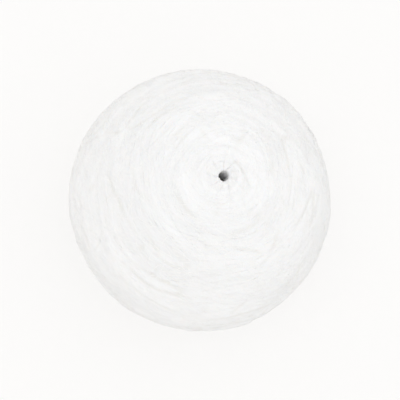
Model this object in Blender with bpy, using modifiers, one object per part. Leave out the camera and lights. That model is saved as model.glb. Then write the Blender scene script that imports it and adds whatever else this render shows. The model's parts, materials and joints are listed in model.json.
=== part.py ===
"""A spun cotton ball: damp cotton pulp wound on a thin needle, pressed round and dried.

Metres, +Z up. The origin is the ball's centre, and +Z points out of the mouth of the hole
that the needle left. The ball is one solid. Its section, with the needle hole, the lip and a
shallow hollow at each pole, is turned about Z. The turned skin is then gathered into folds
at the two poles and left slightly out of round, as winding and pressing leave it.
"""

import math
from dataclasses import dataclass

import bpy
import numpy as np

# Ball
BALL_DIAMETER = 0.025
OUT_OF_ROUND = 0.00015

# Needle hole: blind, widest at its mouth, with the needle's point at its end
HOLE_DEPTH = 0.015
HOLE_MOUTH_DIAMETER = 0.0009
HOLE_NECK_DIAMETER = 0.0007
NEEDLE_POINT_LENGTH = 0.0016
LIP_RADIUS = 0.0003

# Shallow hollow drawn in round the mouth, with folds that run in to it
MOUTH_HOLLOW_DIAMETER = 0.0086
MOUTH_HOLLOW_DEPTH = 0.00035
MOUTH_FOLD_COUNT = 9
MOUTH_FOLD_DEPTH = 0.00016

# Smaller hollow at the other pole, the tail, where the winding closed over
TAIL_HOLLOW_DIAMETER = 0.0054
TAIL_HOLLOW_DEPTH = 0.00018
TAIL_FOLD_COUNT = 6
TAIL_FOLD_DEPTH = 0.0001

# How the folds lie: their swing about the axis between rim and pole, how far it wanders from
# fold to fold, and the share by which their lengths and depths differ
FOLD_SWING = math.radians(38)
FOLD_WANDER = math.radians(9)
FOLD_VARIATION = 0.35

# Below the skin the folds die out over this depth, so the needle hole stays straight
FOLD_RUN_IN = 0.0025

# Slow waves of the pressed skin: each one's way across the ball and its start
PRESS_WAVES = (
    ((2.6, 1.2, 0.5), 0.4),
    ((-0.7, 2.9, 1.6), 2.3),
    ((1.4, -0.8, 3.2), 4.1),
)

# Fineness of the mesh
TURN_STEPS = 72
SKIN_RINGS = 42
WALL_RINGS = 8
LIP_RINGS = 4
POLE_CROWDING = 0.8
WELD_DISTANCE = 1e-6

# Finish
COTTON_COLOUR = (0.93, 0.93, 0.92, 1.0)
COTTON_ROUGHNESS = 0.95

BALL_RADIUS = BALL_DIAMETER / 2


@dataclass(frozen=True)
class Gather:
    """A pole where the winding is drawn in: a shallow hollow and the folds that run in to it."""

    diameter: float
    depth: float
    fold_count: int
    fold_depth: float

    def share(self, distance):
        """Distance from the pole along the skin, as a share of the hollow's radius up to 1."""
        return np.clip(distance / (self.diameter / 2), 0, 1)

    def hollow(self, distance):
        """How far the hollow sinks: a bell that is level at its middle and at its rim."""
        return self.depth * (1 - self.share(distance) ** 2) ** 2

    def fold(self, column, distance):
        """How far the folds sink, with sharp valleys and round crests.

        A fold is deepest a third of its length from the pole, and its length and depth vary
        slowly round the axis with the angle of the column.
        """
        length = 1 - FOLD_VARIATION * (1 + np.sin(2 * column)) / 2
        along = np.clip(self.share(distance) / length, 0, 1)
        profile = 27 / 4 * along * (1 - along) ** 2
        valley = (1 - np.abs(np.sin(self.fold_count * column / 2))) ** 2
        strength = 1 - FOLD_VARIATION * (1 + np.sin(3 * column)) / 2
        return self.fold_depth * strength * valley * profile

    def swing(self, column, distance):
        """Angle by which the skin is wound on about the axis, from none at the rim."""
        wound = FOLD_SWING + FOLD_WANDER * np.sin(2 * column)
        return wound * (1 - self.share(distance)) ** 2


MOUTH = Gather(
    MOUTH_HOLLOW_DIAMETER, MOUTH_HOLLOW_DEPTH, MOUTH_FOLD_COUNT, MOUTH_FOLD_DEPTH
)
TAIL = Gather(
    TAIL_HOLLOW_DIAMETER, TAIL_HOLLOW_DEPTH, TAIL_FOLD_COUNT, TAIL_FOLD_DEPTH
)


def from_poles(angle):
    """Distances along the skin from the mouth's pole and from the tail's, at an angle from +Z."""
    return BALL_RADIUS * angle, BALL_RADIUS * (math.pi - angle)


def skin_radius(angle):
    """Radius of the turned skin at an angle from +Z: a circle with a hollow at each pole."""
    from_mouth, from_tail = from_poles(angle)
    return BALL_RADIUS - MOUTH.hollow(from_mouth) - TAIL.hollow(from_tail)


def hole_wall(lip_height, neck_height):
    """Radius and height of the tapered wall up from the needle's point, crowded at the mouth."""
    share = 1 - np.linspace(1, 0, WALL_RINGS, endpoint=False) ** 2
    mouth, neck = HOLE_MOUTH_DIAMETER / 2, HOLE_NECK_DIAMETER / 2
    radius = neck + (mouth - neck) * share
    return np.column_stack((radius, neck_height + (lip_height - neck_height) * share))


def lip(crest_radius, lip_height):
    """Radius and height of the rounded lip, a quarter circle from the wall to its crest."""
    angle = np.linspace(math.pi, math.pi / 2, LIP_RINGS, endpoint=False)
    around = LIP_RADIUS * np.column_stack((np.cos(angle), np.sin(angle)))
    return around + (crest_radius, lip_height)


def skin(crest_angle):
    """Radius and height of the skin from the lip's crest to the tail, crowded at both poles."""
    share = np.linspace(0, 1, SKIN_RINGS + 1)
    crowded = share - POLE_CROWDING * np.sin(2 * math.pi * share) / (2 * math.pi)
    angle = crest_angle + (math.pi - crest_angle) * crowded
    section = skin_radius(angle)[:, None] * np.column_stack((np.sin(angle), np.cos(angle)))
    section[-1, 0] = 0
    return section


def ball_section():
    """The section that is turned: needle's point, wall, lip, then down the skin to the tail."""
    crest_radius = HOLE_MOUTH_DIAMETER / 2 + LIP_RADIUS
    crest_angle = math.asin(crest_radius / BALL_RADIUS)
    crest_height = skin_radius(crest_angle) * math.cos(crest_angle)
    lip_height = crest_height - LIP_RADIUS
    point_height = crest_height - HOLE_DEPTH
    neck_height = point_height + NEEDLE_POINT_LENGTH
    return np.concatenate(
        (
            [(0, point_height)],
            hole_wall(lip_height, neck_height),
            lip(crest_radius, lip_height),
            skin(crest_angle),
        )
    )


def turn(name, section):
    """An object whose closed surface is the section turned once round Z."""
    mesh = bpy.data.meshes.new(name)
    points = [(radius, 0, height) for radius, height in section]
    edges = [(i, i + 1) for i in range(len(points) - 1)]
    mesh.from_pydata(points, edges, [])
    turned = bpy.data.objects.new(name, mesh)
    screw = turned.modifiers.new("Turn", "SCREW")
    screw.axis = "Z"
    screw.angle = 2 * math.pi
    screw.steps = TURN_STEPS
    screw.render_steps = TURN_STEPS
    screw.use_merge_vertices = True
    screw.merge_threshold = WELD_DISTANCE
    return turned


def press_waves(direction):
    """Outward move of the skin where pressing left it out of round: the mean of slow waves."""
    waves = [np.sin(direction @ np.array(way) + start) for way, start in PRESS_WAVES]
    return OUT_OF_ROUND * np.mean(waves, axis=0)


def gathered(points):
    """The turned points, wound on about Z and moved in or out where the skin is worked."""
    distance = np.linalg.norm(points, axis=1)
    direction = points / distance[:, None]
    angle = np.arccos(np.clip(direction[:, 2], -1, 1))
    column = np.arctan2(direction[:, 1], direction[:, 0])
    from_mouth, from_tail = from_poles(angle)

    depth = skin_radius(angle) - distance
    nearness = np.clip(1 - depth / FOLD_RUN_IN, 0, 1)
    at_skin = nearness**2 * (3 - 2 * nearness)
    outward = press_waves(direction)
    outward -= MOUTH.fold(column, from_mouth) + TAIL.fold(column, from_tail)
    swing = MOUTH.swing(column, from_mouth) - TAIL.swing(column, from_tail)

    moved = points + direction * (at_skin * outward)[:, None]
    turned = column + at_skin * swing
    radius = np.hypot(moved[:, 0], moved[:, 1])
    return np.column_stack((radius * np.cos(turned), radius * np.sin(turned), moved[:, 2]))


def gather_skin(ball):
    """Makes the turned surface a mesh of its own and works its skin."""
    graph = bpy.context.evaluated_depsgraph_get()
    mesh = bpy.data.meshes.new_from_object(ball.evaluated_get(graph))
    points = np.empty(len(mesh.vertices) * 3)
    mesh.vertices.foreach_get("co", points)
    mesh.vertices.foreach_set("co", gathered(points.reshape(-1, 3)).ravel())
    mesh.shade_smooth()
    section = ball.data
    ball.modifiers.clear()
    ball.data = mesh
    bpy.data.meshes.remove(section)
    mesh.name = ball.name


def cotton_material():
    """Pressed and bleached cotton pulp: nearly neutral white and quite matt."""
    material = bpy.data.materials.new("spun cotton")
    material.use_nodes = True
    shader = material.node_tree.nodes["Principled BSDF"]
    shader.inputs["Base Color"].default_value = COTTON_COLOUR
    shader.inputs["Roughness"].default_value = COTTON_ROUGHNESS
    shader.inputs["Metallic"].default_value = 0
    return material


def main():
    for obj in list(bpy.data.objects):
        bpy.data.objects.remove(obj)
    parts = bpy.data.collections.new("Spun cotton ball")
    bpy.context.scene.collection.children.link(parts)
    ball = turn("cotton_ball", ball_section())
    parts.objects.link(ball)
    gather_skin(ball)
    ball.data.materials.append(cotton_material())


main()
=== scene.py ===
"""Looks of a spun cotton ball: its pressed skin, its fibres, its finish and the studio.

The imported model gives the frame. The ball stands at the origin with the needle hole's mouth
towards +Z, and every length here is in metres.
"""

import json
import logging
import math
from dataclasses import dataclass
from enum import Enum

import bpy
import numpy as np
from mathutils import Matrix, Vector

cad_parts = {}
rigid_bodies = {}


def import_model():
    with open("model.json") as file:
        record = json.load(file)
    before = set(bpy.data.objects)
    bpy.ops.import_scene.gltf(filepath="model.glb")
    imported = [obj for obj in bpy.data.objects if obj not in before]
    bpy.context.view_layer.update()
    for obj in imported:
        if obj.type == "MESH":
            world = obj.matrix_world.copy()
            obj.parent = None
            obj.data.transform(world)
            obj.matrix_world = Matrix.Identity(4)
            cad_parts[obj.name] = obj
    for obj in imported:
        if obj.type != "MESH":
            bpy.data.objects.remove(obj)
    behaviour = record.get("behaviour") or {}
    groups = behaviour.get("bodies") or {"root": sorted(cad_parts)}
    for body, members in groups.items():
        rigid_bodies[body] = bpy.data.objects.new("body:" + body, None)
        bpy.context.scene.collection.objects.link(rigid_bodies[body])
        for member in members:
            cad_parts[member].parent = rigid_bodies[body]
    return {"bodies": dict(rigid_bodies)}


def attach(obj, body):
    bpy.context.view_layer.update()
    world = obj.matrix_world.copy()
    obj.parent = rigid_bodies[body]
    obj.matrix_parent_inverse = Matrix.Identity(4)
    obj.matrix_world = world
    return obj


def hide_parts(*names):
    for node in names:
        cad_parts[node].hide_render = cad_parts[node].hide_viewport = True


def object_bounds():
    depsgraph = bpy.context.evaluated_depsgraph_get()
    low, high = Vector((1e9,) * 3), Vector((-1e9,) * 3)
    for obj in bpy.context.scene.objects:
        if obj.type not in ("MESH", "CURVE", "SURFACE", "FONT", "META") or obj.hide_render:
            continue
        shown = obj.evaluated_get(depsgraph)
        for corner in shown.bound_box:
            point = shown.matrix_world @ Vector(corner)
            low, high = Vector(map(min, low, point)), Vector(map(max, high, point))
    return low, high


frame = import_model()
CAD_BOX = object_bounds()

LOG = logging.getLogger("cotton_ball")
MM = 0.001
FULL_TURN = 2 * math.pi
NODE = "cotton_ball"
BODY = next(iter(frame["bodies"]))

# Attributes that the skin keeps for its finish: how much painted shade it takes in creases
# and pits, and the place in each layer of the web, with how that layer leans on the ball
PAINTED_SHADE = "painted_shade"
LAYERS = {"web_up": 1.0, "web_down": -1.0}

# Banks beside a pressed-in line: their height as a share of its depth, and how far out they
# stand in half widths of the line
BANK_HEIGHT = 0.35
BANK_DISTANCE = 2

# Brings the share times the square of one less the share, along a fold, to 1 where it peaks
FOLD_SCALE = 27 / 4

# Distances from the axis are taken as at least this where something is divided by them
NEAR_AXIS = MM / 100

Array = np.ndarray
Span = tuple[float, float]


def linear(hex_colour: str) -> tuple[float, float, float, float]:
    """Turns an sRGB hex colour such as "F6F4F0" to linear values with full alpha.

    Args:
        hex_colour: Six hex digits.

    Returns:
        Linear red, green, blue and alpha.
    """
    shares = [int(hex_colour[i : i + 2], 16) / 255 for i in (0, 2, 4)]
    values = [s / 12.92 if s <= 0.04045 else ((s + 0.055) / 1.055) ** 2.4 for s in shares]
    return values[0], values[1], values[2], 1.0


def unit(vectors: Array) -> Array:
    """Scales each vector of the last axis to length one."""
    return vectors / np.linalg.norm(vectors, axis=-1, keepdims=True)


def from_top(direction: Array) -> Array:
    """Angle from +Z of each unit vector, one row each."""
    return np.arccos(np.clip(direction[:, 2], -1, 1))


def smooth(share: Array) -> Array:
    """Eases a share from 0 to 1 with level ends: three times its square less twice its cube."""
    held = np.clip(share, 0, 1)
    return held**2 * (3 - 2 * held)


def groove(distance: Array, width: float | Array) -> Array:
    """Profile of a pressed-in line: a bell one deep, with two low banks beside it.

    Args:
        distance: Distance from the line.
        width: Half width of the groove.

    Returns:
        Height at that distance, from -1 in the line.
    """
    share = np.abs(distance) / width
    return BANK_HEIGHT * np.exp(-((share - BANK_DISTANCE) ** 2)) - np.exp(-(share**2))


def add_node(
    tree: bpy.types.NodeTree,
    kind: str,
    settings: dict[str, object] | None = None,
    values: dict[str | int, object] | None = None,
    links: dict[str | int, bpy.types.NodeSocket] | None = None,
) -> bpy.types.Node:
    """Adds one node to a tree, with its settings, its input values and its links.

    Args:
        tree: The node tree.
        kind: The node's type name, such as ShaderNodeBump.
        settings: Properties of the node by name.
        values: Input values by socket name or number.
        links: Output sockets that feed the inputs, by socket name or number.

    Returns:
        The new node.
    """
    node = tree.nodes.new(kind)
    for name, value in (settings or {}).items():
        setattr(node, name, value)
    for name, value in (values or {}).items():
        node.inputs[name].default_value = value
    for name, socket in (links or {}).items():
        tree.links.new(socket, node.inputs[name])
    return node


def seen_share(tree: bpy.types.NodeTree) -> bpy.types.NodeSocket:
    """Adds the share of a ray that sees the background: 1 from the camera, gloss or glass.

    Args:
        tree: A node tree of the floor or the world.

    Returns:
        The share, 0 or 1.
    """
    rays = add_node(tree, "ShaderNodeLightPath").outputs
    seen = rays["Is Camera Ray"]
    for other in ("Is Glossy Ray", "Is Transmission Ray"):
        seen = add_node(
            tree, "ShaderNodeMath", {"operation": "MAXIMUM"}, links={0: seen, 1: rays[other]}
        ).outputs[0]
    return seen


def new_material(name: str) -> tuple[bpy.types.Material, bpy.types.NodeTree]:
    """Makes a material with an empty node tree.

    Args:
        name: The material's name.

    Returns:
        The material and its tree.
    """
    material = bpy.data.materials.new(name)
    material.use_nodes = True
    material.node_tree.nodes.clear()
    return material, material.node_tree


def mesh_object(
    name: str, points: Array, faces: list[list[int]], is_smooth: bool = True
) -> bpy.types.Object:
    """Makes a mesh object at the origin.

    Args:
        name: The piece's name.
        points: Vertices, one row each.
        faces: Vertex numbers of each face, anticlockwise from outside.
        is_smooth: Whether light runs smoothly from face to face.

    Returns:
        The linked object.
    """
    mesh = bpy.data.meshes.new(name)
    mesh.from_pydata(points.tolist(), [], faces)
    mesh.update()
    if is_smooth:
        mesh.shade_smooth()
    made = bpy.data.objects.new(name, mesh)
    bpy.context.scene.collection.objects.link(made)
    return made


@dataclass(frozen=True)
class Swell:
    """Smooth random relief between two wavelengths: a sum of plane waves in all directions.

    Each wave is the sine of its phase plus the point's place along the wave's direction over
    the wavelength. The sum is scaled so that its root mean square is the height.
    """

    shortest: float
    longest: float
    height: float
    seed: int
    waves: int = 48

    @property
    def wave_height(self) -> float:
        """Height of each wave."""
        return self.height * math.sqrt(2 / self.waves)

    def turns(self, points: Array) -> tuple[Array, Array]:
        """Angle of every wave at every point, and the waves' vectors.

        Args:
            points: Places in space, one row each.

        Returns:
            Angles by point and wave, and one vector for each wave.
        """
        rng = np.random.default_rng(self.seed)
        ways = unit(rng.normal(size=(self.waves, 3)))
        lengths = np.geomspace(self.shortest, self.longest, self.waves)
        phases = rng.uniform(0, FULL_TURN, self.waves)
        vectors = ways * (FULL_TURN / lengths)[:, None]
        return points @ vectors.T + phases, vectors

    def at(self, points: Array) -> Array:
        """Relief at some points, one height for each row."""
        return self.wave_height * np.sin(self.turns(points)[0]).sum(axis=-1)

    def with_slope(self, points: Array) -> tuple[Array, Array]:
        """Relief at some points, and its slope: each wave's cosine times its vector, summed.

        Args:
            points: Places in space, one row each.

        Returns:
            Height and slope vector of each point.
        """
        turns, vectors = self.turns(points)
        height = self.wave_height * np.sin(turns).sum(axis=-1)
        return height, self.wave_height * (np.cos(turns) @ vectors)


@dataclass(frozen=True)
class Fade:
    """Slow coming and going of a mark: a level plus a swell times its gain, eased to a share."""

    swell: Swell
    level: float
    gain: float

    def at(self, points: Array) -> Array:
        """Share of the mark that shows at some points, one for each row."""
        return smooth(self.level + self.gain * self.swell.at(points))


@dataclass(frozen=True)
class Gather:
    """A pole where the winding is drawn in: a shallow hollow and the folds that run in to it."""

    diameter: float
    depth: float
    fold_count: int
    fold_depth: float
    # Which way the winding turns on, 1 or -1, by what angle, and how far that wanders
    turns_on: int
    swing: float = math.radians(38)
    wander: float = math.radians(9)
    # Share by which the folds' lengths and depths differ
    variation: float = 0.35
    # How often the swing, the folds' length and their depth change round the axis
    wander_waves: int = 2
    length_waves: int = 2
    depth_waves: int = 3
    # Rounds in which the unwound angle is found
    rounds: int = 6

    def share(self, distance: Array) -> Array:
        """Distance from the pole as a share of the hollow's radius, up to 1."""
        return np.clip(distance / (self.diameter / 2), 0, 1)

    def hollow(self, distance: Array) -> Array:
        """Depth of the hollow: one less the share's square, squared, times the full depth."""
        return self.depth * (1 - self.share(distance) ** 2) ** 2

    def column(self, turn: Array, distance: Array) -> Array:
        """Angle that the skin had before it was wound on.

        The swing falls from its full angle at the pole to none at the rim, with the square of
        one less the share, and wanders with a sine of the angle sought, so it is solved by
        putting each answer back in.

        Args:
            turn: Angles about the axis.
            distance: Distances from the pole along the skin.

        Returns:
            The unwound angles.
        """
        column = turn
        for _ in range(self.rounds):
            wound = self.swing + self.wander * np.sin(self.wander_waves * column)
            column = turn - self.turns_on * wound * (1 - self.share(distance)) ** 2
        return column

    def varied(self, column: Array, waves: int) -> Array:
        """Share from 1 down by the variation, as a sine of so many waves round the axis."""
        return 1 - self.variation * (1 + np.sin(waves * column)) / 2

    def fold(self, turn: Array, distance: Array) -> Array:
        """Depth of the folds, with sharp valleys and round crests.

        Round the axis it is one less the absolute sine of half the fold count times the
        unwound angle, squared. Along a fold it is the share times the square of one less the
        share, scaled to 1 where it peaks. Length and depth vary slowly round the axis.

        Args:
            turn: Angles about the axis.
            distance: Distances from the pole along the skin.

        Returns:
            How far the skin sinks.
        """
        column = self.column(turn, distance)
        length = self.varied(column, self.length_waves)
        along = np.clip(self.share(distance) / length, 0, 1)
        profile = FOLD_SCALE * along * (1 - along) ** 2
        valley = (1 - np.abs(np.sin(self.fold_count * column / 2))) ** 2
        strength = self.varied(column, self.depth_waves)
        return self.fold_depth * strength * valley * profile


@dataclass(frozen=True)
class Winding:
    """Ripples and fine wrinkles of the web, which run round the ball and wander as they go."""

    # Share by which the pattern is shortened round the ball, for the relief and the fibres
    stretch: float = 0.34
    fibre_stretch: float = 0.11
    ripple: Swell = Swell(2.2 * MM, 4.6 * MM, 0.015 * MM, seed=16)
    # Wrinkles: the swell whose zero line they follow, where they show, and their half width
    wrinkle: Swell = Swell(2.6 * MM, 5.5 * MM, 1.0, seed=17)
    shown: Fade = Fade(Swell(4 * MM, 10 * MM, 1.0, seed=18), level=0.35, gain=0.55)
    width: float = 0.19 * MM
    depth: float = 0.045 * MM
    # Longer than it is high, so that the pattern wanders but never closes to a ring
    lean: Swell = Swell(8 * MM, 18 * MM, 0.9 * MM, seed=19)

    def place(self, surface: Array, radius: float, stretch: float, lean: float) -> Array:
        """Place in a pattern that runs round the ball.

        Its height is the distance from the mouth's pole plus the lean times a swell, and its
        other two axes are the surface's own, shortened by the stretch.

        Args:
            surface: Places on the ball, one row each.
            radius: The ball's radius.
            stretch: Share by which the pattern is shortened round the ball.
            lean: How much of the swell is added, below zero to lean the other way.

        Returns:
            One place for each row.
        """
        level = radius * from_top(surface / radius) + lean * self.lean.at(surface)
        return np.column_stack((stretch * surface[:, :2], level))

    def at(self, surface: Array, radius: float) -> tuple[Array, Array]:
        """Ripples, and the wrinkles by themselves.

        Both are swells in the pattern that runs round the ball. A wrinkle is a groove along
        the line where its swell is zero. Its distance is the swell over the swell's slope,
        and a third swell fades each line in and out.

        Args:
            surface: Places on the ball, one row each.
            radius: The ball's radius.

        Returns:
            Height of the ripples and of the wrinkles at each place.
        """
        wound = self.place(surface, radius, self.stretch, 0)
        level, slope = self.wrinkle.with_slope(wound)
        round_ball = self.stretch * np.hypot(slope[:, 0], slope[:, 1])
        steep = np.hypot(slope[:, 2], round_ball) + 1 / radius
        wrinkles = self.depth * self.shown.at(surface) * groove(level / steep, self.width)
        return self.ripple.at(wound), wrinkles


@dataclass(frozen=True)
class WebLaps:
    """Edges of the cotton web that show where one lap of the winding lies on the last."""

    count: int = 9
    # Height of an edge, its width, and how far past it the lap thins out
    lift: float = 0.055 * MM
    edge: float = 0.40 * MM
    thinning: float = 2.6 * MM
    # Level of the outermost edges, and how far each one strays, as shares of the radius
    reach: float = 0.86
    stray: float = 0.05
    # Steepest tilt of an edge, and the least as a share of that
    tilt: float = math.radians(24)
    least_tilt: float = 0.2
    wobble: Swell = Swell(3 * MM, 9 * MM, 0.5 * MM, seed=21)
    shown: Fade = Fade(Swell(6 * MM, 14 * MM, 1.0, seed=22), level=0.5, gain=0.6)
    seed: int = 23

    def at(self, surface: Array, radius: float) -> Array:
        """Height of the laps on the ball.

        Each lap's edge lies in a tilted plane, with a wobble. Past it the skin steps up over
        the edge's width and falls off as an exponential of the distance. A slow swell hides
        stretches of each edge.

        Args:
            surface: Places on the ball, one row each.
            radius: The ball's radius.

        Returns:
            Height of each place.
        """
        rng = np.random.default_rng(self.seed)
        wobble = self.wobble.at(surface)
        levels = np.linspace(-self.reach, self.reach, self.count)
        levels = levels + rng.uniform(-self.stray, self.stray, self.count)
        height = np.zeros(len(surface))
        for level in levels:
            turn = rng.uniform(0, FULL_TURN)
            tilt = rng.uniform(self.least_tilt, 1) * self.tilt
            aside, up = math.sin(tilt), math.cos(tilt)
            way = np.array((aside * math.cos(turn), aside * math.sin(turn), up))
            past = surface @ way - level * radius + wobble
            height += smooth(past / self.edge) * np.exp(-np.maximum(past, 0) / self.thinning)
        return self.lift * self.shown.at(surface) * height


@dataclass(frozen=True)
class Creases:
    """Short soft wrinkles across the winding, where the damp web was pressed."""

    count: int = 150
    length: Span = (1.6 * MM, 4.8 * MM)
    width: Span = (0.12 * MM, 0.24 * MM)
    depth: Span = (0.010 * MM, 0.036 * MM)
    bend: float = 0.10 / MM
    seed: int = 31

    def at(self, surface: Array) -> Array:
        """Relief of the wrinkles on the ball.

        A wrinkle lies near its own point, along a line bent as a parabola in the plane that
        touches the ball there. Along the line its groove fades with the square of one less
        the square of the share of its half length.

        Args:
            surface: Places on the ball, one row each.

        Returns:
            Height of each place, below zero in a groove.
        """
        rng = np.random.default_rng(self.seed)
        height = np.zeros(len(surface))
        for centre in unit(rng.normal(size=(self.count, 3))):
            length, width, depth = (rng.uniform(*r) for r in (self.length, self.width, self.depth))
            bend = rng.normal() * self.bend
            heading = rng.uniform(0, math.pi)
            east = unit(np.cross((0, 0, 1), centre))
            north = np.cross(centre, east)
            along_way = math.cos(heading) * east + math.sin(heading) * north
            across_way = np.cross(centre, along_way)
            near = (surface @ centre > 0) & (np.abs(surface @ along_way) < length / 2)
            along = surface[near] @ along_way
            across = surface[near] @ across_way - bend * along**2
            fade = (1 - (2 * along / length) ** 2) ** 2
            height[near] += depth * fade * groove(across, width)
        return height


@dataclass(frozen=True)
class Specks:
    """Small round marks: pits where the press caught air, or neps where fibres knotted."""

    count: int
    radius: Span
    height: Span
    seed: int

    def at(self, surface: Array) -> Array:
        """Relief of the marks: each is a bell round its own point.

        Args:
            surface: Places on the ball, one row each.

        Returns:
            Height of each place.
        """
        rng = np.random.default_rng(self.seed)
        ball = np.linalg.norm(surface, axis=-1).max()
        relief = np.zeros(len(surface))
        for centre in unit(rng.normal(size=(self.count, 3))) * ball:
            radius, height = rng.uniform(*self.radius), rng.uniform(*self.height)
            gap = ((surface - centre) ** 2).sum(axis=-1)
            relief += height * np.exp(-gap / radius**2)
        return relief


@dataclass(frozen=True)
class BallShape:
    """The ball's form and relief as a function of direction, the same for skin and fibres."""

    radius: float = 12.5 * MM
    mouth: Gather = Gather(
        diameter=8.6 * MM, depth=0.35 * MM, fold_count=9, fold_depth=0.16 * MM, turns_on=1
    )
    tail: Gather = Gather(
        diameter=5.4 * MM, depth=0.18 * MM, fold_count=6, fold_depth=0.10 * MM, turns_on=-1
    )
    # Slow waves of the pressed skin: each one's way across the ball and its start
    out_of_round: float = 0.15 * MM
    press_waves: tuple[tuple[tuple[float, float, float], float], ...] = (
        ((2.6, 1.2, 0.5), 0.4),
        ((-0.7, 2.9, 1.6), 2.3),
        ((1.4, -0.8, 3.2), 4.1),
    )
    lumps: Swell = Swell(5 * MM, 11 * MM, 0.022 * MM, seed=11)
    dimples: Swell = Swell(1.5 * MM, 3.4 * MM, 0.015 * MM, seed=12)
    peel: Swell = Swell(0.6 * MM, 1.2 * MM, 0.012 * MM, seed=13)
    winding: Winding = Winding()
    laps: WebLaps = WebLaps()
    creases: Creases = Creases()
    pits: Specks = Specks(
        count=110, radius=(0.18 * MM, 0.38 * MM), height=(-0.035 * MM, -0.012 * MM), seed=14
    )
    neps: Specks = Specks(
        count=120, radius=(0.16 * MM, 0.30 * MM), height=(0.010 * MM, 0.032 * MM), seed=15
    )

    def turned_radius(self, angle: Array) -> Array:
        """Radius of the plain turned skin: the ball less its two hollows.

        Args:
            angle: Angles from +Z.

        Returns:
            Distance from the centre at each angle.
        """
        mouth = self.mouth.hollow(self.radius * angle)
        tail = self.tail.hollow(self.radius * (math.pi - angle))
        return self.radius - mouth - tail

    def form(self, direction: Array) -> Array:
        """Outward move that the solid model has too: slow press waves, less the folds.

        Args:
            direction: Unit vectors from the centre.

        Returns:
            Height over the plain turned skin.
        """
        angle = from_top(direction)
        turn = np.arctan2(direction[:, 1], direction[:, 0])
        waves = [np.sin(direction @ np.array(way) + start) for way, start in self.press_waves]
        return (
            self.out_of_round * np.mean(waves, axis=0)
            - self.mouth.fold(turn, self.radius * angle)
            - self.tail.fold(turn, self.radius * (math.pi - angle))
        )

    def texture(self, direction: Array) -> tuple[Array, Array]:
        """Fine relief that only the visible skin has.

        Args:
            direction: Unit vectors from the centre.

        Returns:
            Height of each direction, and how deep it lies in a crease or pit.
        """
        surface = self.radius * direction
        ripples, wrinkles = self.winding.at(surface, self.radius)
        sunk = wrinkles + self.creases.at(surface) + self.pits.at(surface)
        height = sunk + ripples + self.neps.at(surface) + self.laps.at(surface, self.radius)
        for swell in (self.lumps, self.dimples, self.peel):
            height = height + swell.at(surface)
        return height, np.maximum(-sunk, 0)

    def skin(self, direction: Array) -> Array:
        """Radius of the finished skin in each direction."""
        turned = self.turned_radius(from_top(direction))
        return turned + self.form(direction) + self.texture(direction)[0]


@dataclass(frozen=True)
class NeedleHole:
    """The blind hole that the winding needle left, with its rounded, ragged lip."""

    depth: float = 15 * MM
    mouth_diameter: float = 0.9 * MM
    neck_diameter: float = 0.7 * MM
    point_length: float = 1.6 * MM
    lip_radius: float = 0.3 * MM
    # How ragged the lip is, and how far that reaches from its crest, in lip radii
    ragged: Swell = Swell(0.28 * MM, 0.80 * MM, 0.026 * MM, seed=41)
    ragged_reach: float = 3.0
    # Depth over which the skin's relief dies out in the hole, which so stays straight
    run_in: float = 2.5 * MM
    # How steeply a fibre hangs where it reaches past the lip into the hole
    hang: float = 0.8

    @property
    def crest_radius(self) -> float:
        """Distance from the axis to the crest of the lip."""
        return self.mouth_diameter / 2 + self.lip_radius

    def fall(self, axis_distance: Array) -> Array:
        """How far a fibre that is drawn in over the lip falls from the crest.

        It lies on the lip's quarter circle, and past the wall it hangs on down at a slope.

        Args:
            axis_distance: Distances from the axis.

        Returns:
            Depth below the crest, none outside it.
        """
        inside = np.maximum(self.crest_radius - axis_distance, 0)
        on_lip = np.minimum(inside, self.lip_radius)
        round_lip = self.lip_radius - np.sqrt(self.lip_radius**2 - on_lip**2)
        return round_lip + self.hang * (inside - on_lip)


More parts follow.
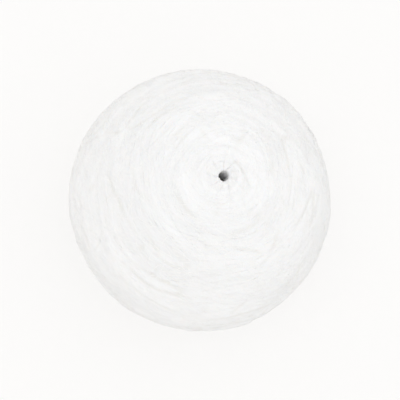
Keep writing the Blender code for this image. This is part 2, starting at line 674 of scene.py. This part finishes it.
@dataclass(frozen=True)
class PressedSkin:
    """The ball itself: one closed skin from the needle's point round to the tail.

    Its rings have twice as many columns between the two caps as on them, so that the mesh is
    about as fine everywhere.
    """

    shape: BallShape
    hole: NeedleHole
    cap_columns: int = 240
    # Angle from each pole to the edge of its cap
    cap: float = math.radians(32.5)
    wall_rings: int = 10
    lip_rings: int = 6
    mouth_rings: int = 58
    belt_rings: int = 143
    tail_rings: int = 47
    # Depth of a crease or pit that takes the full painted shade
    full_shade_depth: float = 0.06 * MM

    def section(self) -> Array:
        """Half section of the ball, turned later: radius and height of each ring.

        It runs from the needle's point up the tapered wall, round the lip as a quarter
        circle, and down the skin at even angles on each cap and on the belt between them.

        Returns:
            One row of radius and height for each ring, poles included.
        """
        hole = self.hole
        crest_angle = math.asin(hole.crest_radius / self.shape.radius)
        crest = float(self.shape.turned_radius(np.array(crest_angle))) * math.cos(crest_angle)
        lip_height = crest - hole.lip_radius
        point = crest - hole.depth

        share = (1 - np.linspace(1, 0, self.wall_rings, endpoint=False) ** 2)[:, None]
        low = np.array((hole.neck_diameter / 2, point + hole.point_length))
        high = np.array((hole.mouth_diameter / 2, lip_height))
        wall = low + (high - low) * share

        bend = np.linspace(math.pi, math.pi / 2, self.lip_rings, endpoint=False)
        lip = hole.lip_radius * np.column_stack((np.cos(bend), np.sin(bend)))
        lip += (hole.crest_radius, lip_height)

        belt = math.pi - self.cap
        angle = np.concatenate(
            (
                np.linspace(crest_angle, self.cap, self.mouth_rings, endpoint=False),
                np.linspace(self.cap, belt, self.belt_rings, endpoint=False),
                np.linspace(belt, math.pi, self.tail_rings + 1),
            )
        )
        radius = self.shape.turned_radius(angle)[:, None]
        skin = radius * np.column_stack((np.sin(angle), np.cos(angle)))
        skin[-1, 0] = 0
        return np.concatenate(([(0, point)], wall, lip, skin))

    def columns(self) -> Array:
        """Number of columns of each ring: cap, belt, cap.

        Returns:
            One number for each ring, poles left out.
        """
        upper = self.wall_rings + self.lip_rings + self.mouth_rings
        counts = (upper, self.belt_rings, self.tail_rings)
        return np.repeat([self.cap_columns, 2 * self.cap_columns, self.cap_columns], counts)

    def turned(self) -> Array:
        """Points of the plain turned surface.

        A point of a ring stands at the ring's radius, at a turn about Z of its column over
        the ring's number of columns.

        Returns:
            First pole, every ring in order, last pole.
        """
        section, columns = self.section(), self.columns()
        start = np.cumsum(columns) - columns
        ring = np.repeat(np.arange(len(columns)), columns)
        turn = (np.arange(len(ring)) - start[ring]) * FULL_TURN / columns[ring]
        radius, height = section[1:-1, 0][ring], section[1:-1, 1][ring]
        rings = np.column_stack((radius * np.cos(turn), radius * np.sin(turn), height))
        first, last = ((0, 0, level) for level in section[[0, -1], 1])
        return np.concatenate(([first], rings, [last]))

    def surface(self) -> tuple[Array, Array]:
        """Vertices of the closed skin, and how deep each lies in a crease or pit, for painted
        shade.

        A turned point is moved out along its direction by the form and the fine relief, which
        fade below the skin, and near the lip it is moved from the axis by a ragged swell.

        Returns:
            The vertices, and the depth of each in a crease or pit, which sets the painted shade.
        """
        hole = self.hole
        points = self.turned()
        distance = np.linalg.norm(points, axis=1)
        direction = points / distance[:, None]
        under = self.shape.turned_radius(from_top(direction)) - distance
        at_skin = smooth(1 - under / hole.run_in)
        relief, painted_shade = self.shape.texture(direction)
        move = at_skin * (self.shape.form(direction) + relief)

        axis_distance = np.hypot(points[:, 0], points[:, 1])
        from_lip = np.abs(axis_distance - hole.crest_radius)
        near_lip = smooth(1 - from_lip / (hole.ragged_reach * hole.lip_radius))
        at_lip = near_lip * at_skin * (points[:, 2] > 0)
        sideways = points * (1, 1, 0) / np.maximum(axis_distance, NEAR_AXIS)[:, None]
        moved = points + direction * move[:, None]
        moved += sideways * (at_lip * hole.ragged.at(points))[:, None]
        return moved, painted_shade * at_skin

    def faces(self) -> list[list[int]]:
        """Faces of the skin: a fan at each pole, quads between like rings, and stitches.

        Where a ring meets one with twice its columns, each column is stitched by three
        triangles.

        Returns:
            Vertex numbers of each face, anticlockwise from outside.
        """
        columns = self.columns()
        start = np.cumsum(columns) - columns + 1
        faces: list[list[int]] = []
        for upper, lower in zip(range(len(columns) - 1), range(1, len(columns))):
            above = start[upper] + np.arange(columns[upper])
            below = start[lower] + np.arange(columns[lower])
            if len(above) == len(below):
                sides = (above, below, np.roll(below, -1), np.roll(above, -1))
                faces += np.stack(sides, axis=-1).tolist()
                continue
            opens = len(below) > len(above)
            few, many = (above, below) if opens else (below, above)
            next_few, even, odd = np.roll(few, -1), many[::2], many[1::2]
            next_even = np.roll(even, -1)
            stitches = [(few, even, odd), (few, odd, next_few), (next_few, odd, next_even)]
            for stitch in stitches:
                faces += np.stack(stitch if opens else stitch[::-1], axis=-1).tolist()

        ring = np.arange(columns[0]) + 1
        last = int(columns.sum()) + 1
        end = np.arange(columns[-1]) + start[-1]
        first_pole = (np.zeros_like(ring), ring, np.roll(ring, -1))
        last_pole = (np.full_like(end, last), np.roll(end, -1), end)
        for fan in (first_pole, last_pole):
            faces += np.stack(fan, axis=-1).tolist()
        return faces

    def build(self, finish: bpy.types.Material) -> bpy.types.Object:
        """Makes the skin, with what its finish reads kept as attributes.

        Args:
            finish: The material.

        Returns:
            The piece, which stands for the solid.
        """
        points, painted_shade = self.surface()
        piece = mesh_object("pressed_skin", points, self.faces())
        # Share of the painted shade in creases and pits: full where one lies deep enough
        shade_share = np.minimum(painted_shade / self.full_shade_depth, 1).astype(np.float32)
        attributes = piece.data.attributes
        attributes.new(PAINTED_SHADE, "FLOAT", "POINT").data.foreach_set("value", shade_share)
        surface = self.shape.radius * unit(points)
        winding = self.shape.winding
        for layer, lean in LAYERS.items():
            place = winding.place(surface, self.shape.radius, winding.fibre_stretch, lean)
            flat = place.astype(np.float32).ravel()
            attributes.new(layer, "FLOAT_VECTOR", "POINT").data.foreach_set("vector", flat)
        piece.data.materials.append(finish)
        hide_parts(NODE)
        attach(piece, BODY)
        return piece


class FibreLay(Enum):
    """How a fibre lies on the skin."""

    WOUND = "pressed into the skin along the winding, with both ends under it"
    STRAY = "rooted at one end and lifted at the other"
    LIP = "drawn in across the lip of the hole"


@dataclass(frozen=True)
class FibreCoat:
    """Cotton fibres on the skin, all of one lay.

    A fibre is a thin closed tube with four sides, flatter than it is wide.
    """

    name: str
    lay: FibreLay
    count: int
    length: Span
    thickness: float
    flatness: float
    lift: float
    seed: int
    # Nearest that a fibre over the hole comes to its axis, in crest radii
    kept_off: float = 1.0
    # How much a fibre bends and crimps for its length, and how fast each one waves along it
    bend: float = 0.9
    bend_waves: float = 1.6
    crimp: float = 0.02
    crimp_waves: float = 3.9
    # How fibres scatter about the winding, cross it, and turn to the pole in the mouth's hollow
    scatter: float = math.radians(34)
    crossing: float = math.radians(17)
    draw_in: float = math.radians(62)
    # Share of the hollow's radius at which they begin to turn
    draw_reach: float = 1.1
    # Where the middles of lip fibres lie, in crest radii
    round_lip: Span = (0.85, 1.6)
    # Least lift as a share of the most
    least_lift: float = 0.3
    # How deep a stray fibre's root lies, as a share of its lift and in thicknesses
    rooted: float = 0.2
    sunk: float = 0.3
    # Share of its thickness that a fibre loses by its ends
    taper: float = 0.65
    rings: int = 9

    def roots(
        self, rng: np.random.Generator, hole: NeedleHole, shape: BallShape
    ) -> tuple[Array, Array]:
        """Middle of each fibre as a direction, and the way it runs there.

        Round the lip, a fibre points from the axis, give or take. Elsewhere it runs round the
        ball, up or down by the crossing angle and some scatter, and turns towards the pole in
        the hollow of the mouth.

        Args:
            rng: Source of the random draws.
            hole: The needle hole.
            shape: The ball's form.

        Returns:
            Unit vectors to the middles, and unit vectors along the fibres.
        """
        if self.lay is FibreLay.LIP:
            turn = rng.uniform(0, FULL_TURN, self.count)
            away = hole.crest_radius * rng.uniform(*self.round_lip, self.count) / shape.radius
            flat = np.column_stack((np.cos(turn), np.sin(turn), np.zeros(self.count)))
            centre = flat * np.sin(away)[:, None] + np.cos(away)[:, None] * (0, 0, 1)
        else:
            centre = unit(rng.normal(size=(self.count, 3)))
        east = unit(np.cross((0, 0, 1), centre))
        north = np.cross(centre, east)
        from_mouth = shape.radius * from_top(centre)
        drawn = smooth(self.draw_reach - shape.mouth.share(from_mouth)) * self.draw_in
        cross = self.crossing * rng.choice((-1, 1), self.count)
        heading = drawn + cross + rng.normal(0, self.scatter, self.count)
        way = np.cos(heading)[:, None] * east + np.sin(heading)[:, None] * north
        return centre, way

    def paths(self, shape: BallShape, hole: NeedleHole) -> Array:
        """Centreline of each fibre.

        In the plane that touches the ball at its middle, a fibre runs straight along its way.
        It leaves that line by a bend times a quarter of its length times a slow cosine of the
        share, which goes from -1 to 1 along it, and by the crimp times its length times a
        quick one, both from a random start. Each point is laid on the skin in its direction
        and lifted. A stray fibre rises with the share's square. Any other falls with the
        fourth power, to end a thickness under the skin, and on the lip it follows that down.
        Fibres that would close the hole are left out.

        Args:
            shape: The ball's form.
            hole: The needle hole.

        Returns:
            Points by fibre, ring and axis.
        """
        rng = np.random.default_rng(self.seed)
        centre, way = self.roots(rng, hole, shape)
        across = np.cross(centre, way)
        share = np.linspace(-1, 1, self.rings)[None, :, None]
        length = rng.uniform(*self.length, self.count)[:, None, None]
        start = rng.uniform(0, FULL_TURN, self.count)[:, None, None]
        bend = self.bend * rng.normal(size=self.count)[:, None, None]
        along = share * length / 2
        aside = bend * length / 4 * (np.cos(self.bend_waves * share + start) - np.cos(start))
        aside += self.crimp * length * np.cos(self.crimp_waves * share + 2 * start)
        flat = centre[:, None] * shape.radius + way[:, None] * along + across[:, None] * aside
        direction = unit(flat)
        skin = shape.skin(direction.reshape(-1, 3)).reshape(self.count, self.rings, 1)
        reach = self.lift * rng.uniform(self.least_lift, 1, self.count)[:, None, None]
        if self.lay is FibreLay.STRAY:
            raised = reach * np.maximum(share, -self.rooted) * np.abs(share)
            raised = raised - self.sunk * self.thickness
        else:
            raised = reach - (reach + self.thickness) * share**4
        path = direction * (skin + raised)
        from_axis = np.hypot(path[..., 0], path[..., 1])
        if self.lay is FibreLay.LIP:
            path[..., 2] -= hole.fall(from_axis)
        is_over = (from_axis < hole.crest_radius * self.kept_off) & (path[..., 2] > 0)
        return path[~is_over.any(axis=1)]

    def build(
        self, shape: BallShape, hole: NeedleHole, finish: bpy.types.Material
    ) -> bpy.types.Object:
        """Makes the fibres, each carried along its centreline and tapered to its ends.

        Args:
            shape: The ball's form.
            hole: The needle hole.
            finish: The material.

        Returns:
            The piece with all of the fibres.
        """
        path = self.paths(shape, hole)
        tangent = unit(np.gradient(path, axis=1))
        aside = unit(np.cross(tangent, path))
        up = np.cross(aside, tangent) * self.flatness
        share = np.linspace(-1, 1, self.rings)[None, :, None, None]
        half_width = self.thickness / 2 * (1 - self.taper * share**4)
        around = np.stack((up, aside, -up, -aside), axis=2)
        points = (path[:, :, None] + half_width * around).reshape(-1, 3)

        number = np.arange(len(points)).reshape(len(path), self.rings, 4)
        beside = np.roll(number, -1, axis=2)
        walls = (number[:, :-1], beside[:, :-1], beside[:, 1:], number[:, 1:])
        faces = np.stack(walls, axis=-1).reshape(-1, 4).tolist()
        faces += number[:, 0, ::-1].tolist() + number[:, -1].tolist()
        # Flat faces, because smoothed ones would turn the light on a sunk fibre's sides
        piece = mesh_object(self.name, points, faces, is_smooth=False)
        piece.data.materials.append(finish)
        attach(piece, BODY)
        return piece


@dataclass(frozen=True)
class SpunCotton:
    """Finish of spun cotton: bleached pulp, wound damp, pressed and dried, with no glaze.

    The eye sees a quite matt, nearly neutral white with no highlight, in faint streaks along
    the winding. Light that goes into the pulp comes out again a little warmer, so creases
    look soft.
    """

    pulp: str = "F9F9F9"
    shade: str = "F1F1F1"
    # Painted shade, darker than the pulp, laid in the creases and pits
    crease: str = "EDECE9"
    roughness: float = 0.95
    specular: float = 0.2
    sheen: float = 0.15
    sheen_roughness: float = 0.6
    # Light spreads about this far inside the pulp, red the furthest
    spread: float = 0.45 * MM
    spread_share: float = 0.12
    spread_colours: tuple[float, float, float] = (1.0, 0.8, 0.62)
    # Streaks where the web is thick or thin: the noise across them, and the least and most of
    # both layers' noise that the two tones stand for
    streak_across: float = 1.6 * MM
    streak_detail: float = 4.0
    streak_roughness: float = 0.65
    streak_band: Span = (0.72, 1.28)
    # Pulp grain is about 0.1 mm in the real skin, too fine to show, so it is drawn coarser
    grain: float = 0.34 * MM
    grain_detail: float = 2.0
    grain_roughness: float = 0.7
    grain_height: float = 0.085 * MM
    # Pressed fibres of about 0.02 mm, drawn as ridges as wide as they need to be to show:
    # the noise that they follow, and the band about its middle that makes a ridge
    felt_across: float = 0.50 * MM
    felt_detail: float = 1.0
    felt_warp: float = 0.3
    felt_middle: float = 0.5
    felt_band: float = 0.09
    felt_height: float = 0.019 * MM

    def colour(
        self, tree: bpy.types.NodeTree, webs: list[bpy.types.NodeSocket]
    ) -> bpy.types.NodeSocket:
        """Adds the colour: two tones in streaks along both web layers, and painted shade in
        creases.

        Args:
            tree: The material's node tree.
            webs: Place in each layer of the web.

        Returns:
            The colour.
        """
        streaks = [
            add_node(
                tree,
                "ShaderNodeTexNoise",
                values={
                    "Scale": 1 / self.streak_across,
                    "Detail": self.streak_detail,
                    "Roughness": self.streak_roughness,
                },
                links={"Vector": web},
            ).outputs["Fac"]
            for web in webs
        ]
        both = add_node(
            tree, "ShaderNodeMath", {"operation": "ADD"}, links={0: streaks[0], 1: streaks[1]}
        )
        low, high = self.streak_band
        share = add_node(
            tree,
            "ShaderNodeMapRange",
            {"interpolation_type": "SMOOTHSTEP"},
            {"From Min": low, "From Max": high},
            {"Value": both.outputs[0]},
        )
        tone = add_node(
            tree,
            "ShaderNodeMix",
            {"data_type": "RGBA"},
            {6: linear(self.pulp), 7: linear(self.shade)},
            {"Factor": share.outputs["Result"]},
        )
        # Painted shade: the crease colour laid over the tones where the skin lies deep in a crease
        # or pit
        painted_shade = add_node(tree, "ShaderNodeAttribute", {"attribute_name": PAINTED_SHADE})
        return add_node(
            tree,
            "ShaderNodeMix",
            {"data_type": "RGBA"},
            {7: linear(self.crease)},
            {"Factor": painted_shade.outputs["Fac"], 6: tone.outputs[2]},
        ).outputs[2]

    def relief(
        self, tree: bpy.types.NodeTree, webs: list[bpy.types.NodeSocket]
    ) -> bpy.types.NodeSocket:
        """Adds the finest relief: the pulp's grain, and the fibres of both layers over it.

        Args:
            tree: The material's node tree.
            webs: Place in each layer of the web.

        Returns:
            The normal.
        """
        grain = add_node(
            tree,
            "ShaderNodeTexNoise",
            values={
                "Scale": 1 / self.grain,
                "Detail": self.grain_detail,
                "Roughness": self.grain_roughness,
            },
            links={"Vector": add_node(tree, "ShaderNodeTexCoord").outputs["Object"]},
        )
        normal = add_node(
            tree,
            "ShaderNodeBump",
            values={"Strength": 1.0, "Distance": self.grain_height},
            links={"Height": grain.outputs["Fac"]},
        ).outputs["Normal"]
        for web in webs:
            felt = add_node(
                tree,
                "ShaderNodeTexNoise",
                values={
                    "Scale": 1 / self.felt_across,
                    "Detail": self.felt_detail,
                    "Distortion": self.felt_warp,
                },
                links={"Vector": web},
            )
            aside = add_node(
                tree,
                "ShaderNodeMath",
                {"operation": "SUBTRACT"},
                {1: self.felt_middle},
                {0: felt.outputs["Fac"]},
            )
            away = add_node(
                tree, "ShaderNodeMath", {"operation": "ABSOLUTE"}, links={0: aside.outputs[0]}
            )
            ridge = add_node(
                tree,
                "ShaderNodeMapRange",
                {"interpolation_type": "SMOOTHSTEP"},
                {"From Max": self.felt_band, "To Min": 1.0, "To Max": 0.0},
                {"Value": away.outputs[0]},
            )
            normal = add_node(
                tree,
                "ShaderNodeBump",
                values={"Strength": 1.0, "Distance": self.felt_height},
                links={"Height": ridge.outputs["Result"], "Normal": normal},
            ).outputs["Normal"]
        return normal

    def build(self) -> bpy.types.Material:
        """Makes the material.

        Returns:
            A material that reads object coordinates and the skin's attributes.
        """
        material, tree = new_material("spun_cotton_pressed")
        webs = [
            add_node(tree, "ShaderNodeAttribute", {"attribute_name": layer}).outputs["Vector"]
            for layer in LAYERS
        ]
        shader = add_node(
            tree,
            "ShaderNodeBsdfPrincipled",
            values={
                "Roughness": self.roughness,
                "Specular IOR Level": self.specular,
                "Sheen Weight": self.sheen,
                "Sheen Roughness": self.sheen_roughness,
                "Subsurface Weight": self.spread_share,
                "Subsurface Radius": self.spread_colours,
                "Subsurface Scale": self.spread,
            },
            links={"Base Color": self.colour(tree, webs), "Normal": self.relief(tree, webs)},
        )
        add_node(tree, "ShaderNodeOutputMaterial", links={"Surface": shader.outputs["BSDF"]})
        return material


@dataclass(frozen=True)
class CottonLint:
    """Finish of single cotton fibres: bleached, ribbon-like and dry.

    The eye sees them only where they cross a shadow or stand against the light, as fine
    threads a touch paler than the pulp.
    """

    bright: str = "FBFBFA"
    dull: str = "F5F4F2"
    roughness: float = 0.8
    specular: float = 0.25
    sheen: float = 0.15
    sheen_roughness: float = 0.5
    # Colour changes along a fibre about as often as a real one twists
    twist: float = 0.8 * MM
    twist_detail: float = 1.0

    def build(self) -> bpy.types.Material:
        """Makes the material.

        Returns:
            A material that reads object coordinates.
        """
        material, tree = new_material("cotton_lint_bleached")
        twist = add_node(
            tree,
            "ShaderNodeTexNoise",
            values={"Scale": 1 / self.twist, "Detail": self.twist_detail},
            links={"Vector": add_node(tree, "ShaderNodeTexCoord").outputs["Object"]},
        )
        colour = add_node(
            tree,
            "ShaderNodeMix",
            {"data_type": "RGBA"},
            {6: linear(self.bright), 7: linear(self.dull)},
            {"Factor": twist.outputs["Fac"]},
        )
        shader = add_node(
            tree,
            "ShaderNodeBsdfPrincipled",
            values={
                "Roughness": self.roughness,
                "Specular IOR Level": self.specular,
                "Sheen Weight": self.sheen,
                "Sheen Roughness": self.sheen_roughness,
            },
            links={"Base Color": colour.outputs[2]},
        )
        add_node(tree, "ShaderNodeOutputMaterial", links={"Surface": shader.outputs["BSDF"]})
        return material


@dataclass(frozen=True)
class StudioPaper:
    """Finish of the floor: wide uncoated white paper, rolled out flat.

    The eye sees a matt, even white that keeps the ball's soft shadow. The paper is a little
    darker as it lights the ball than as it is seen, with plain white laid over what is seen.
    """

    tone: str = "E9E7E4"
    seen_tone: str = "F5F3F0"
    seen_white: float = 0.62

    def build(self) -> bpy.types.Material:
        """Makes the material.

        Returns:
            A material that is the same all over.
        """
        material, tree = new_material("studio_paper")
        seen = seen_share(tree)
        share = add_node(
            tree, "ShaderNodeMath", {"operation": "MULTIPLY"}, {1: self.seen_white}, {0: seen}
        )
        colour = add_node(
            tree,
            "ShaderNodeMix",
            {"data_type": "RGBA"},
            {6: linear(self.tone), 7: linear(self.seen_tone)},
            {"Factor": seen},
        )
        paper = add_node(tree, "ShaderNodeBsdfDiffuse", links={"Color": colour.outputs[2]})
        white = {"Color": linear("FFFFFF"), "Strength": 1.0}
        glow = add_node(tree, "ShaderNodeEmission", values=white)
        mix = add_node(
            tree,
            "ShaderNodeMixShader",
            links={0: share.outputs[0], 1: paper.outputs[0], 2: glow.outputs[0]},
        )
        add_node(tree, "ShaderNodeOutputMaterial", links={"Surface": mix.outputs[0]})
        return material


@dataclass(frozen=True)
class Studio:
    """Pale floor, soft light from all round and above, and a camera that looks down."""

    floor_width: float = 4.0
    paper: StudioPaper = StudioPaper()
    # What the camera sees past the floor, matched to the floor's far side
    backdrop: str = "FBFBFA"
    # Brightness that the world gives a white surface, and that the key lamp adds to it
    world_light: float = 1.005
    key_light: float = 0.06
    key_distance: float = 1.2
    key_width: float = 0.5
    key_azimuth: float = math.radians(240)
    key_elevation: float = math.radians(68)
    lens: float = 100.0
    sensor: float = 36.0
    # Share of the frame's width that the ball takes up
    frame_share: float = 0.655
    elevation: float = math.radians(76)
    roll: float = math.radians(45)
    # Nearest thing that the camera sees, as a share of its distance
    near_clip: float = 0.01

    def floor(self, height: float) -> None:
        """Lays the floor at the ball's lowest point.

        Args:
            height: The floor's height.
        """
        half = self.floor_width / 2
        corners = np.array([(-half, -half), (half, -half), (half, half), (-half, half)])
        points = np.column_stack((corners, np.full(len(corners), height)))
        floor = mesh_object("studio_floor", points, [[0, 1, 2, 3]])
        floor.data.materials.append(self.paper.build())

    def air(self) -> None:
        """Lights the world evenly, and shows the camera a backdrop in place of that light."""
        world = bpy.data.worlds.new("studio_air")
        world.use_nodes = True
        tree = world.node_tree
        tree.nodes.clear()
        light = {"Color": linear("FFFFFF"), "Strength": self.world_light}
        backdrop = {"Color": linear(self.backdrop), "Strength": 1.0}
        sides = [add_node(tree, "ShaderNodeBackground", values=v) for v in (light, backdrop)]
        mix = add_node(
            tree,
            "ShaderNodeMixShader",
            links={0: seen_share(tree), 1: sides[0].outputs[0], 2: sides[1].outputs[0]},
        )
        add_node(tree, "ShaderNodeOutputWorld", links={"Surface": mix.outputs[0]})
        bpy.context.scene.world = world

    def lamp(self) -> None:
        """Hangs the key lamp.

        Its power is worked out from the brightness that it gives a white surface facing it:
        that share times the square of pi times the distance.
        """
        lamp = bpy.data.lights.new("key_softbox", "AREA")
        lamp.shape = "DISK"
        lamp.size = self.key_width
        lamp.energy = self.key_light * (math.pi * self.key_distance) ** 2
        way = Vector(
            (
                math.cos(self.key_azimuth) * math.cos(self.key_elevation),
                math.sin(self.key_azimuth) * math.cos(self.key_elevation),
                math.sin(self.key_elevation),
            )
        )
        key = bpy.data.objects.new("key_softbox", lamp)
        key.location = way * self.key_distance
        key.rotation_euler = way.to_track_quat("Z", "Y").to_euler()
        bpy.context.scene.collection.objects.link(key)

    def camera(self, radius: float) -> None:
        """Sets the camera so that the ball fills its share of the frame.

        Args:
            radius: The ball's radius.
        """
        data = bpy.data.cameras.new("camera")
        data.lens = self.lens
        data.sensor_width = self.sensor
        half_view = math.atan(self.sensor / 2 / self.lens)
        distance = radius / math.sin(math.atan(self.frame_share * math.tan(half_view)))
        data.clip_start = distance * self.near_clip
        camera = bpy.data.objects.new("camera", data)
        back = Vector((0, -math.cos(self.elevation), math.sin(self.elevation)))
        facing = back.to_track_quat("Z", "Y").to_matrix().to_4x4()
        rolled = facing @ Matrix.Rotation(self.roll, 4, "Z")
        camera.matrix_world = Matrix.Translation(back * distance) @ rolled
        bpy.context.scene.collection.objects.link(camera)
        bpy.context.scene.camera = camera


@dataclass(frozen=True)
class CottonBall:
    """The whole object: the skin and its coats of fibre."""

    shape: BallShape = BallShape()
    hole: NeedleHole = NeedleHole()
    # Real fibres are about 0.02 mm thick, too fine to show, so they are drawn thicker
    coats: tuple[FibreCoat, ...] = (
        FibreCoat(
            "matted_fibres",
            FibreLay.WOUND,
            count=2800,
            length=(1.2 * MM, 4.2 * MM),
            thickness=0.046 * MM,
            flatness=0.45,
            lift=0.012 * MM,
            seed=51,
        ),
        FibreCoat(
            "stray_fibres",
            FibreLay.STRAY,
            count=260,
            length=(0.9 * MM, 2.4 * MM),
            thickness=0.028 * MM,
            flatness=0.6,
            lift=0.26 * MM,
            seed=52,
            crimp=0.03,
        ),
        FibreCoat(
            "lip_fibres",
            FibreLay.LIP,
            count=44,
            length=(0.4 * MM, 1.1 * MM),
            thickness=0.036 * MM,
            flatness=0.6,
            lift=0.03 * MM,
            seed=54,
            kept_off=0.3,
            crimp=0.03,
            draw_in=math.radians(66),
        ),
    )

    def build(self) -> float:
        """Builds every piece in order and reports it.

        Returns:
            Height of the skin's lowest point.
        """
        skin = PressedSkin(self.shape, self.hole).build(SpunCotton().build())
        lint = CottonLint().build()
        pieces = [skin] + [coat.build(self.shape, self.hole, lint) for coat in self.coats]
        for piece in pieces:
            LOG.info("%s: %d faces", piece.name, len(piece.data.polygons))
        return min(corner[2] for corner in skin.bound_box)


def main() -> None:
    """Builds the ball and the studio."""
    logging.basicConfig(level=logging.INFO, format="%(name)s %(message)s")
    bpy.context.scene.view_settings.view_transform = "Standard"
    lowest = CottonBall().build()
    studio = Studio()
    studio.floor(lowest)
    studio.air()
    studio.lamp()
    low, high = CAD_BOX
    studio.camera((high.x - low.x) / 2)


if __name__ == "__main__":
    main()
